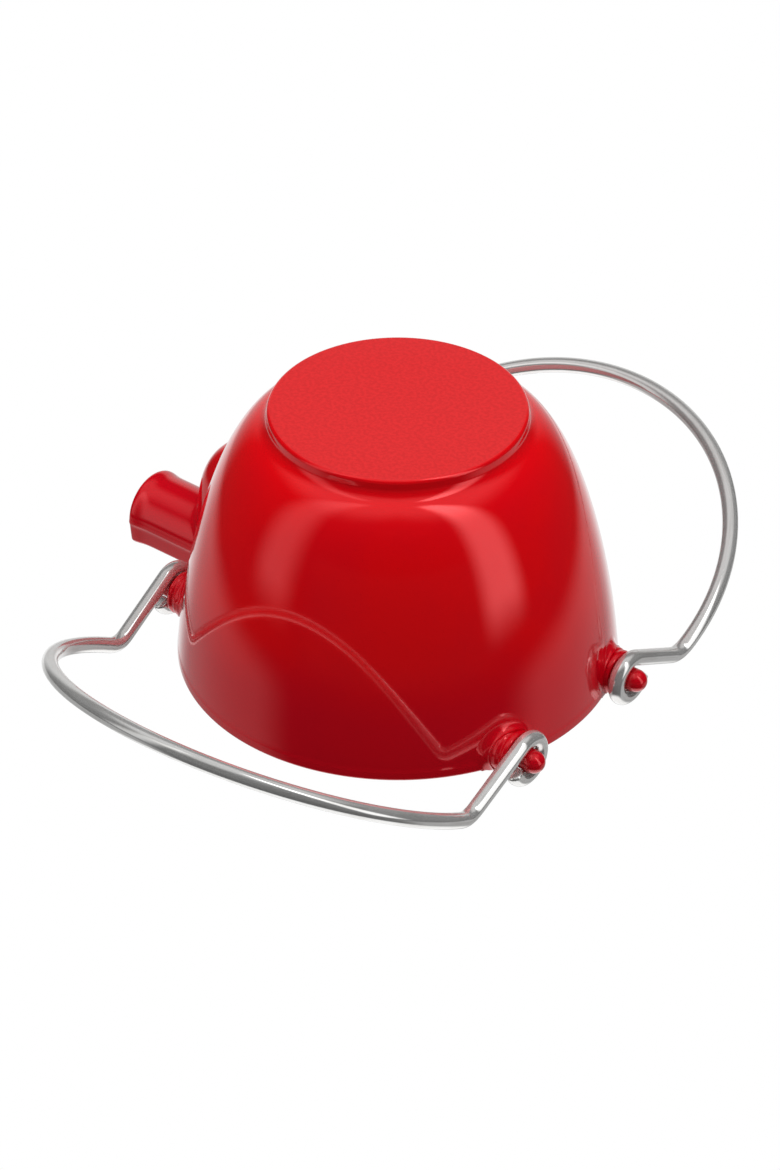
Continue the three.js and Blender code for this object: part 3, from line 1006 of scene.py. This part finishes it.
HOLLOW = 4.2
hollow_turn = np.radians(np.linspace(-90, 90, 25))[1:-1]
hollow_round = np.radians(np.arange(0, 360, 9))
hollow_radii = EGG_RADII - HOLLOW
hollow_rings = []
for a in hollow_turn:
    z = EGG_CENTRE_Z + hollow_radii[2] * math.sin(a)
    if z < THROAT_Z:
        x = EGG_CENTRE_X + hollow_radii[0] * math.cos(a) * np.cos(hollow_round)
        y = hollow_radii[1] * math.cos(a) * np.sin(hollow_round)
        hollow_rings.append(np.stack((x, y, np.full_like(x, z)), axis=1))
hollow = ring_shell("hollow", hollow_rings, enamel)
hole = ring_shell("hole", [spout_ring(x, SPOUT_BORE - 0.6) for x in (60, 110)], enamel)
for tool in (hollow, hole):
    pot = cut(pot, tool)
casting = joined("kettle_body", [pot, spout, *lugs], enamel)
kettle_body = piece("kettle_body", casting)
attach(kettle_body, "kettle")
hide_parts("kettle_body")
triangles = sum(len(face.vertices) - 2 for face in casting.polygons)
print("casting:", len(casting.polygons), "faces,", triangles, "triangles")

# %% [markdown]
# ## The wire handles
#
# Each handle is one length of drawn wire. It curls round a peg, runs out along a short leg,
# turns at a knee into a wide bow, and comes back the same way. A tree sweeps a fine circle
# along that path: its sizes are the wire's diameter and how far its cut ends are rounded. The
# path is worked out first with the hinge at the origin, then tipped and turned into place.

# %% The wire's tree
wire_tree, given = new_tree("wire", {
    "Diameter": "Float", "Sides": "Int", "End Rounding": "Float", "Sharp": "Float", "Material": "Material",
})
walked = output_of(node(wire_tree, "GeometryNodeSplineParameter"), "Length")
whole = node(wire_tree, "GeometryNodeSplineLength")
to_end = walked.math("MINIMUM", whole - walked)
missing = (1 - to_end / given["End Rounding"]).math("MAXIMUM", 0.0)
thickness = 0.62 + 0.38 * (1 - missing * missing).math("SQRT")
named = node(wire_tree, "GeometryNodeStoreNamedAttribute", {"data_type": "FLOAT", "domain": "POINT"},
             {"Geometry": given["Geometry"], "Name": "walked", "Value": walked})
shape = node(wire_tree, "GeometryNodeCurvePrimitiveCircle", {"mode": "RADIUS"},
             {"Resolution": given["Sides"], "Radius": given["Diameter"] / 2})
ring_place = node(wire_tree, "GeometryNodeInputPosition")
shape = node(wire_tree, "GeometryNodeStoreNamedAttribute", {"data_type": "FLOAT_VECTOR", "domain": "POINT"},
             {"Geometry": shape, "Name": "round", "Value": ring_place})
swept = node(wire_tree, "GeometryNodeCurveToMesh", None,
             {"Curve": named, "Profile Curve": shape, "Scale": thickness, "Fill Caps": True})
walked = node(wire_tree, "GeometryNodeInputNamedAttribute", {"data_type": "FLOAT"}, {"Name": "walked"})
as_vector = {"data_type": "FLOAT_VECTOR"}
round_place = node(wire_tree, "GeometryNodeInputNamedAttribute", as_vector, {"Name": "round"})
round_place = node(wire_tree, "ShaderNodeSeparateXYZ", None, {0: round_place})
drawn = node(wire_tree, "ShaderNodeCombineXYZ", None,
             {0: output_of(round_place, "X"), 1: output_of(round_place, "Y"), 2: walked * 0.03})
swept = node(wire_tree, "GeometryNodeStoreNamedAttribute", {"data_type": "FLOAT_VECTOR", "domain": "POINT"},
             {"Geometry": swept, "Name": "drawn", "Value": drawn})
close_tree(wire_tree, swept, given["Material"], given["Sharp"])
print("wire tree:", len(wire_tree.nodes), "nodes")

# %% The wire's path
WIRE_DIAMETER = 5.9
LOOP_X = 81.8
LOOP_RADIUS = 7.6
LOOP_WRAP = math.radians(280)
LEG_LENGTH = 32.0
LEG_TO_BOW = math.radians(57.7)
BOW_RADIUS = 81.5
BOW_CENTRE = 11.4
KNEE_TANGENT = 5.0
END_STEP = 0.15


def bow_point(angle):
    """A point of the bow: it lies in its own plane, tipped down from the legs."""
    along = BOW_CENTRE + BOW_RADIUS * math.sin(angle)
    return np.array((
        BOW_RADIUS * math.cos(angle),
        LEG_LENGTH + along * math.cos(LEG_TO_BOW),
        -LOOP_RADIUS - along * math.sin(LEG_TO_BOW),
    ))


def wire_half():
    """From the cut end at +X to the top of the bow, in millimetres."""
    ends = [LOOP_WRAP - END_STEP * k / LOOP_RADIUS for k in range(6)]
    wraps = ends + list(np.linspace(ends[-1], 0, 48))[1:]
    loop = [np.array((LOOP_X, -LOOP_RADIUS * math.sin(w), -LOOP_RADIUS * math.cos(w))) for w in wraps]
    knee_angle = -math.asin(BOW_CENTRE / BOW_RADIUS)
    first_angle = knee_angle + KNEE_TANGENT / BOW_RADIUS
    knee = bow_point(knee_angle)
    before = knee + (loop[-1] - knee) / np.linalg.norm(loop[-1] - knee) * KNEE_TANGENT
    after = bow_point(first_angle)
    leg = [loop[-1] + (before - loop[-1]) * share for share in (0.1, 0.5, 0.9)]
    bend = [before * (1 - t) ** 2 + 2 * knee * t * (1 - t) + after * t**2 for t in np.linspace(0, 1, 13)]
    bow = [bow_point(a) for a in np.linspace(first_angle, math.pi / 2, 70)[1:]]
    return loop + leg + bend + bow


half = wire_half()
path = half + [point * (-1, 1, 1) for point in half[-2::-1]]
steps = np.linalg.norm(np.diff(path, axis=0), axis=1)
print("wire:", len(path), "stations,", round(float(steps.sum())), "mm long")

# %% Bend both handles
FRONT_LEG_ANGLE = math.radians(27.1)
REAR_LEG_ANGLE = math.radians(29)


def handle(name, side, leg_angle):
    """One bent wire on its pegs, at y = side * HINGE_Y."""
    place = (
        Matrix.Translation((0, side * HINGE_Y * MM, HINGE_Z * MM))
        @ Matrix.Rotation(0 if side > 0 else math.pi, 4, "Z")
        @ Matrix.Rotation(leg_angle, 4, "X")
    )
    curve = bpy.data.curves.new(name, "CURVE")
    curve.dimensions = "3D"
    spline = curve.splines.new("POLY")
    spline.points.add(len(path) - 1)
    for station, point in zip(spline.points, path):
        station.co = (*(place @ Vector(point * MM)), 1)
    settings = {"Diameter": WIRE_DIAMETER * MM, "Sides": 28, "End Rounding": 0.75 * MM}
    mesh = grown(name, curve, wire_tree, Sharp=math.radians(50), Material=polished_wire, **settings)
    face_out(mesh)
    made = piece(name, mesh)
    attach(made, name)
    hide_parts(name)
    print(name, "bent:", len(mesh.polygons), "faces")
    return made


handle("front_handle", -1, FRONT_LEG_ANGLE)
handle("rear_handle", 1, REAR_LEG_ANGLE)

# %% [markdown]
# ## The lid and its knob
#
# The lid is a shallow enamelled dome with a ring underneath that keeps it central. The knob is
# turned from bar, and a screw holds it from below through a plain washer. All four are turned,
# so each is one outline with its fillets. A wide foot, a narrow neck and a swelling head make
# the knob easy to grip. They all ride on the lid.

# %% The lid
LID_UNDER = SEAT_Z + 0.3
LID_EDGE_TOP = LID_UNDER + 4.0
LID_RISE = 6.0
LID_RADIUS = 75.2
LID_THICKNESS = 4.0
PAD_RADIUS = 13.0
RING_OUTER = 69.5
RING_INNER = 66.5
RING_DEPTH = 5.0
HOLE_RADIUS = 3.0
LID_TOP = LID_EDGE_TOP + LID_RISE


def dome(radius):
    """The lid's height: level at the knob's pad and steepest at the edge."""
    out = np.clip((radius - PAD_RADIUS) / (LID_RADIUS - PAD_RADIUS), 0, 1)
    return LID_EDGE_TOP + LID_RISE * (1 - out**2)


under_radii = np.linspace(PAD_RADIUS, 64, 18)
top_radii = np.linspace(73.2, PAD_RADIUS, 26)
lid_outline = rounded(
    [(HOLE_RADIUS, LID_TOP - LID_THICKNESS, 0.4)]
    + plain(under_radii, dome(under_radii) - LID_THICKNESS)
    + [(RING_INNER, LID_UNDER + 0.4, 0.9), (RING_INNER, LID_UNDER - RING_DEPTH, 1.2)]
    + [(RING_OUTER, LID_UNDER - RING_DEPTH, 1.2), (RING_OUTER, LID_UNDER, 0.8)]
    + [(LID_RADIUS, LID_UNDER, 1.0), (LID_RADIUS, LID_EDGE_TOP - 0.2, 1.6)]
    + plain(top_radii, dome(top_radii))
    + [(HOLE_RADIUS, LID_TOP, 0.4)],
    closed=True,
)
lid_outline = np.concatenate([lid_outline, lid_outline[:1]])
lid_mesh = turned_mesh("lid", lid_outline, enamel, columns=168)

# %% The knob, washer and screw
KNOB_FOOT = LID_TOP + 0.3
KNOB_TOP = KNOB_FOOT + 25
KNOB_RADIUS = 15.0
KNOB_FOOT_RADIUS = 11.0
SCREW_RADIUS = 2.5
SCREW_HOLE = SCREW_RADIUS + 0.3
SCREW_DEPTH = 12.0
WASHER_TOP = LID_TOP - LID_THICKNESS - 0.3
WASHER_UNDER = WASHER_TOP - 1.2
WASHER_RADIUS = 8.0
HEAD_TOP = WASHER_UNDER - 0.3
HEAD_UNDER = HEAD_TOP - 3.0
HEAD_RADIUS = 5.0

knob_outline = rounded([
    (0, KNOB_FOOT + SCREW_DEPTH + 0.3, 0), (SCREW_HOLE, KNOB_FOOT + SCREW_DEPTH + 0.3, 0.3),
    (SCREW_HOLE, KNOB_FOOT, 0.3), (KNOB_FOOT_RADIUS, KNOB_FOOT, 0.5),
    (KNOB_FOOT_RADIUS, KNOB_FOOT + 2.0, 0.7), (6.3, KNOB_FOOT + 4.6, 2.0), (6.3, KNOB_FOOT + 12.4, 3.0),
    (KNOB_RADIUS, KNOB_FOOT + 15.4, 2.2), (KNOB_RADIUS - 0.2, KNOB_FOOT + 20.6, 2.0),
    (KNOB_RADIUS - 5, KNOB_TOP - 0.8, 5.0), (0, KNOB_TOP, 0),
])
knob_mesh = turned_mesh("lid_knob", knob_outline, turned_steel, columns=112)
washer_outline = rounded([
    (SCREW_HOLE, WASHER_UNDER, 0.15), (WASHER_RADIUS, WASHER_UNDER, 0.35),
    (WASHER_RADIUS, WASHER_TOP, 0.35), (SCREW_HOLE, WASHER_TOP, 0.15),
], closed=True, steps=4)
washer_outline = np.concatenate([washer_outline, washer_outline[:1]])
washer_mesh = turned_mesh("knob_washer", washer_outline, turned_steel, columns=72)
screw_outline = rounded([
    (0, HEAD_UNDER, 0), (3.6, HEAD_UNDER, 1.0), (HEAD_RADIUS, HEAD_UNDER + 1.2, 0.5),
    (HEAD_RADIUS, HEAD_TOP, 0.25), (SCREW_RADIUS, HEAD_TOP, 0.25),
    (SCREW_RADIUS, KNOB_FOOT + SCREW_DEPTH - 1, 0.3), (1.5, KNOB_FOOT + SCREW_DEPTH, 0.3),
    (0, KNOB_FOOT + SCREW_DEPTH, 0),
], steps=5)
screw_mesh = turned_mesh("knob_screw", screw_outline, turned_steel, columns=64)

# %% [markdown]
# A screwdriver's slot crosses the screw's head. It is cut with a thin bar, as a saw would.

# %% Slot the screw and place the lid's pieces
SLOT_WIDTH = 1.2
SLOT_DEPTH = 1.2

saw_corners = [(-8, -1), (8, -1), (8, 1), (-8, 1)]
saw_ends = (HEAD_UNDER - 1, HEAD_UNDER + SLOT_DEPTH)
saw_rings = [[(x, y * SLOT_WIDTH / 2, z) for x, y in saw_corners] for z in saw_ends]
screw_mesh = cut(screw_mesh, ring_shell("saw", saw_rings, turned_steel))

lid_pieces = {
    "lid": (lid_mesh, "enamel"),
    "lid_knob": (knob_mesh, "turned_steel"),
    "knob_washer": (washer_mesh, "turned_steel"),
    "knob_screw": (screw_mesh, "turned_steel"),
}
for name, (mesh, finish) in lid_pieces.items():
    made = piece(name, mesh)
    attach(made, "lid")
    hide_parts(name)
print("on the lid:", ", ".join(lid_pieces))
